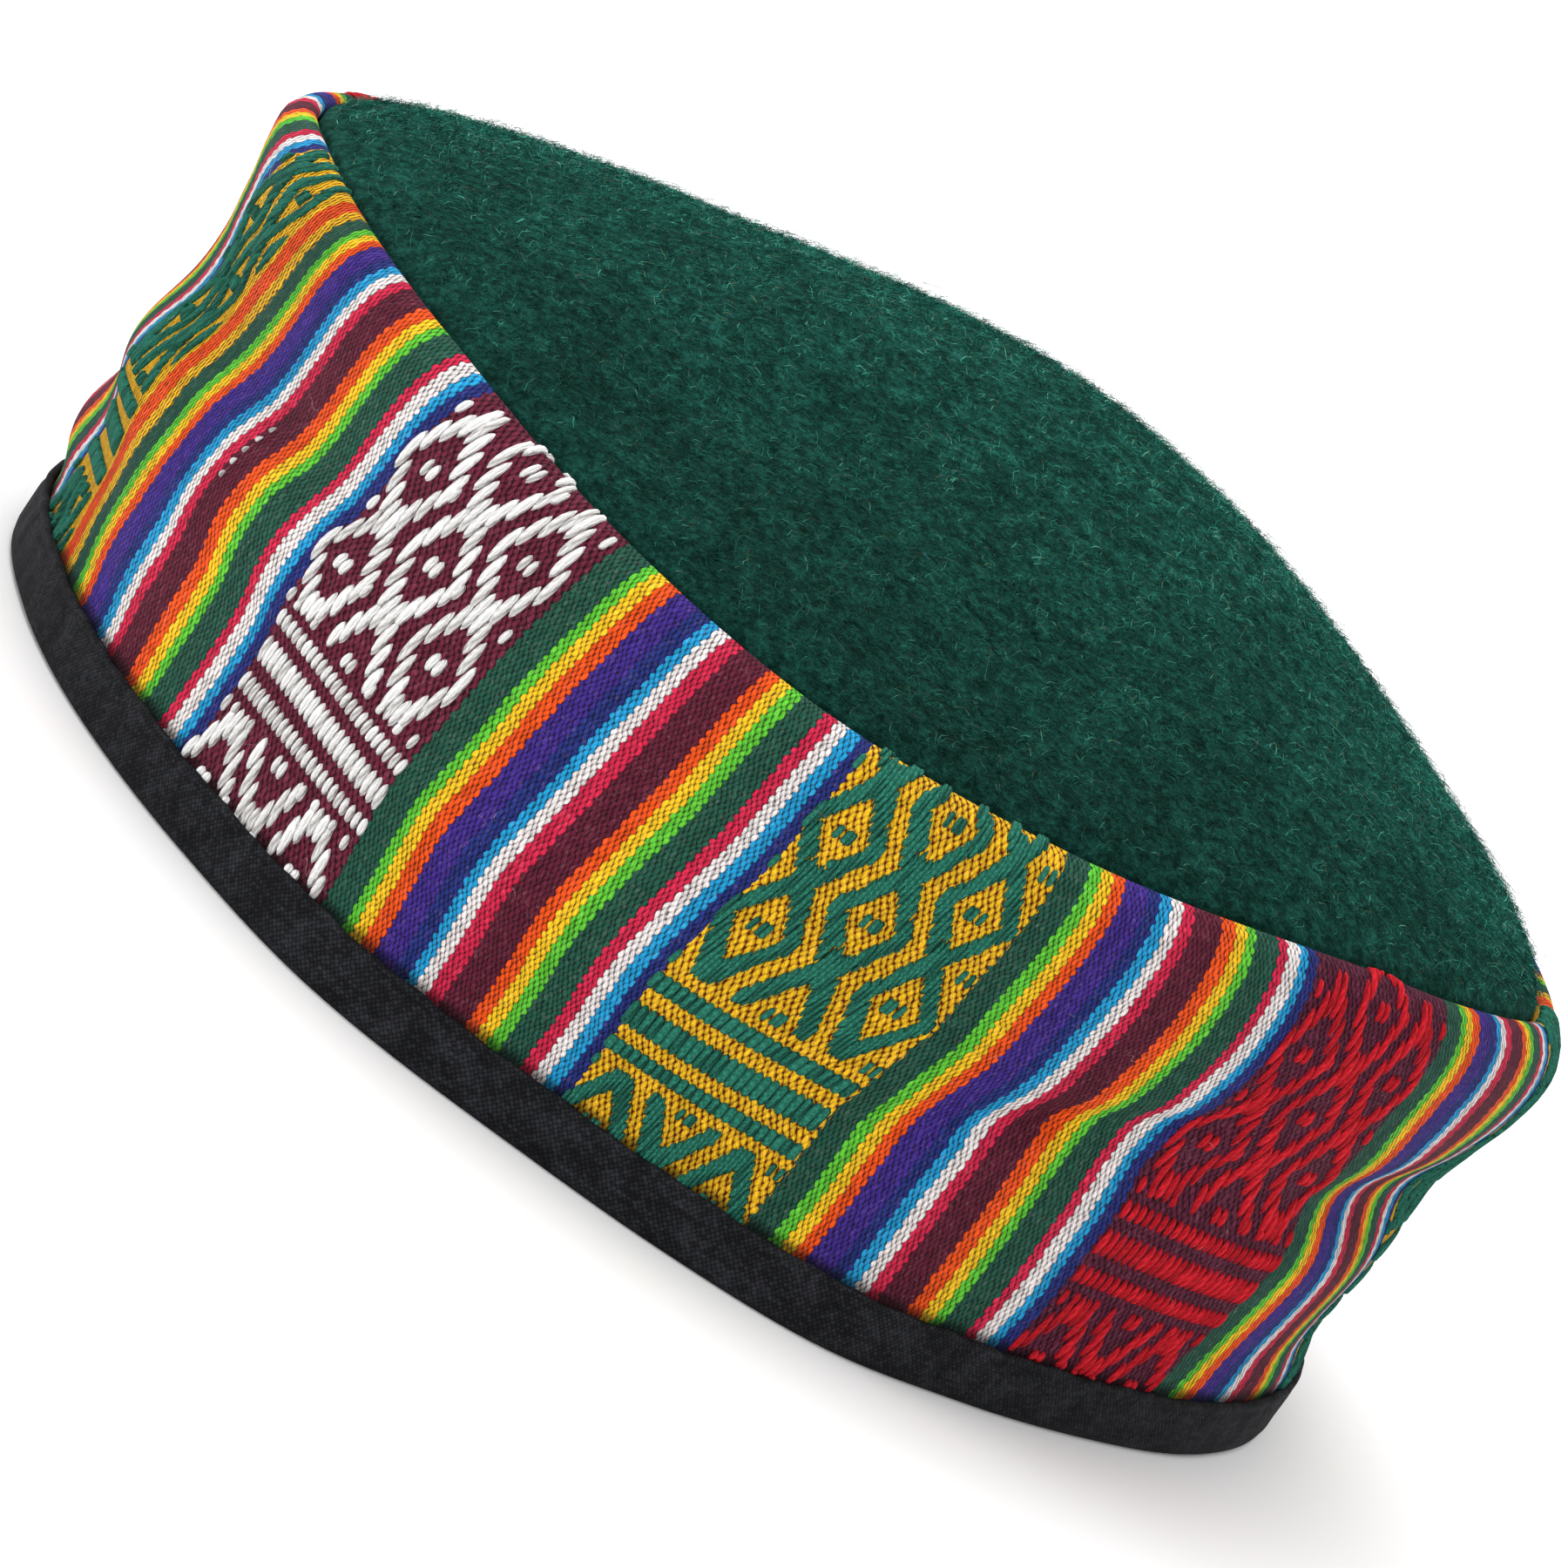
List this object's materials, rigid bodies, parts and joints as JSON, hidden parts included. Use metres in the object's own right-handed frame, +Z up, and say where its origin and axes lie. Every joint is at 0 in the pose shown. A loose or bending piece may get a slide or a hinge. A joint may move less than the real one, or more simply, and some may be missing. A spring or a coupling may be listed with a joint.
{
  "type": "pillbox cap of felt and woven cloth",
  "caption": "Round brimless cap with a domed felt crown, a tall soft band of striped and patterned woven cloth, and a folded tape binding its open rim.",
  "frame": {"origin": "on the surface that the rim rests on, under the middle of the cap's bounding box", "axes": "+Z up through the crown, -Y towards the front that the picture shows, +X to the viewer's right"},
  "size_m": [0.194, 0.1938, 0.0899],
  "materials": {
    "wool_felt": "dark green milled wool felt with a short raised nap",
    "woven_cloth": "warp-faced cotton weave, many-coloured stripes and raised pattern threads",
    "binding_tape": "black plain-weave cotton tape, matt"
  },
  "bodies": {
    "root": {"crown": "wool_felt", "band": "woven_cloth", "binding": "binding_tape"}
  },
  "joints": []
}
